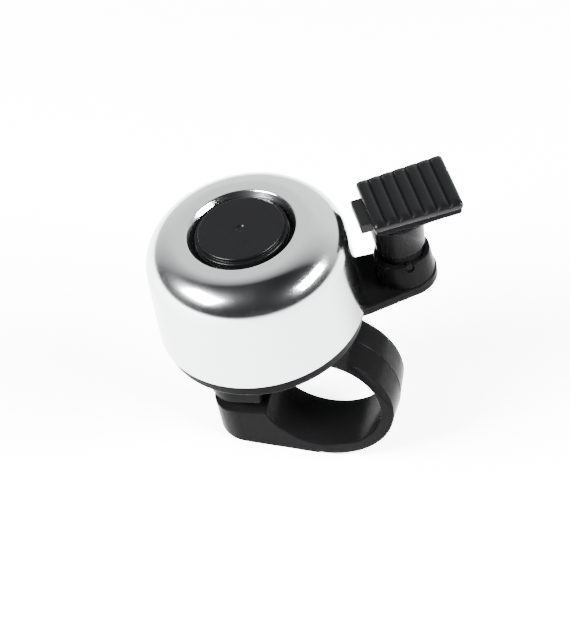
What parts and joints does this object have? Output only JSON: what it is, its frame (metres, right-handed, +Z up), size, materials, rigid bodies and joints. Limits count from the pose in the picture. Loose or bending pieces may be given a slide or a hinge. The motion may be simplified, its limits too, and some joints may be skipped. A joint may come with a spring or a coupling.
{
  "type": "bicycle bell",
  "caption": "Small domed handlebar bell on a split band clamp, with a sprung thumb lever that flicks its striker against the bell.",
  "frame": {"origin": "centre of the handlebar bore, on its axis and midway along the band", "axes": "+Y along the handlebar, +X from the clamp's lug towards the far side of the band, +Z up as the bell stands on the level underside of its lug; the bell's own axis leans 9.7 degrees from +Z towards -X"},
  "size_m": [0.0529, 0.0408, 0.0538],
  "materials": {
    "moulding": "black nylon moulding, satin to semi-gloss",
    "pad": "black moulded pad with ribs, satin",
    "cap": "black cap, satin top with a polished edge",
    "bell": "polished and clear-anodised aluminium, slightly blurred reflections",
    "steel": "bright zinc-plated steel",
    "spring_steel": "plain spring steel",
    "fibre": "red vulcanised fibre",
    "striker": "black oxide on steel, matte"
  },
  "bodies": {
    "base": {"base": "moulding", "clamp_nut": "steel", "centre_post": "steel", "seat_washer": "fibre", "bell_dome": "bell", "dome_washer": "steel", "lock_washer": "spring_steel", "dome_screw": "steel", "dome_cap": "cap", "base_spring_pin": "steel"},
    "strap": {"clamp_strap": "moulding"},
    "washer": {"clamp_washer": "steel"},
    "screw": {"clamp_screw": "steel"},
    "lever": {"lever_body": "moulding", "lever_pad": "pad", "striker": "striker", "return_spring": "spring_steel", "lever_spring_pin": "steel"}
  },
  "joints": [
    {"name": "lever_flick", "type": "hinge", "parent": "base", "child": "lever", "pos_m": [0.0111, 0.01178, 0.02483], "axis": [-0.4398, 0.8949, -0.0752], "range_deg": [-9.7, 16], "stiffness_Nm_per_rad": 0.06, "deforming": ["return_spring"]},
    {"name": "strap_flex", "type": "hinge", "parent": "base", "child": "strap", "pos_m": [0.01208, 0, 0.00206], "axis": [0, 1, 0], "range_deg": [-2.85, 3.92]},
    {"name": "screw_travel", "type": "slide", "parent": "base", "child": "washer", "axis": [-0.1685, 0, 0.9857], "range_m": [-0.0014, 0.00193]},
    {"name": "screw_turn", "type": "hinge", "parent": "washer", "child": "screw", "pos_m": [-0.01432, 0, -0.01056], "axis": [-0.1685, 0, 0.9857], "range_deg": [-720, 990]}
  ],
  "couplings": [
    {"joint": "screw_turn", "follows": "screw_travel", "rad_per_m": 8976},
    {"joint": "strap_flex", "follows": "screw_travel", "rad_per_m": 35.524}
  ]
}
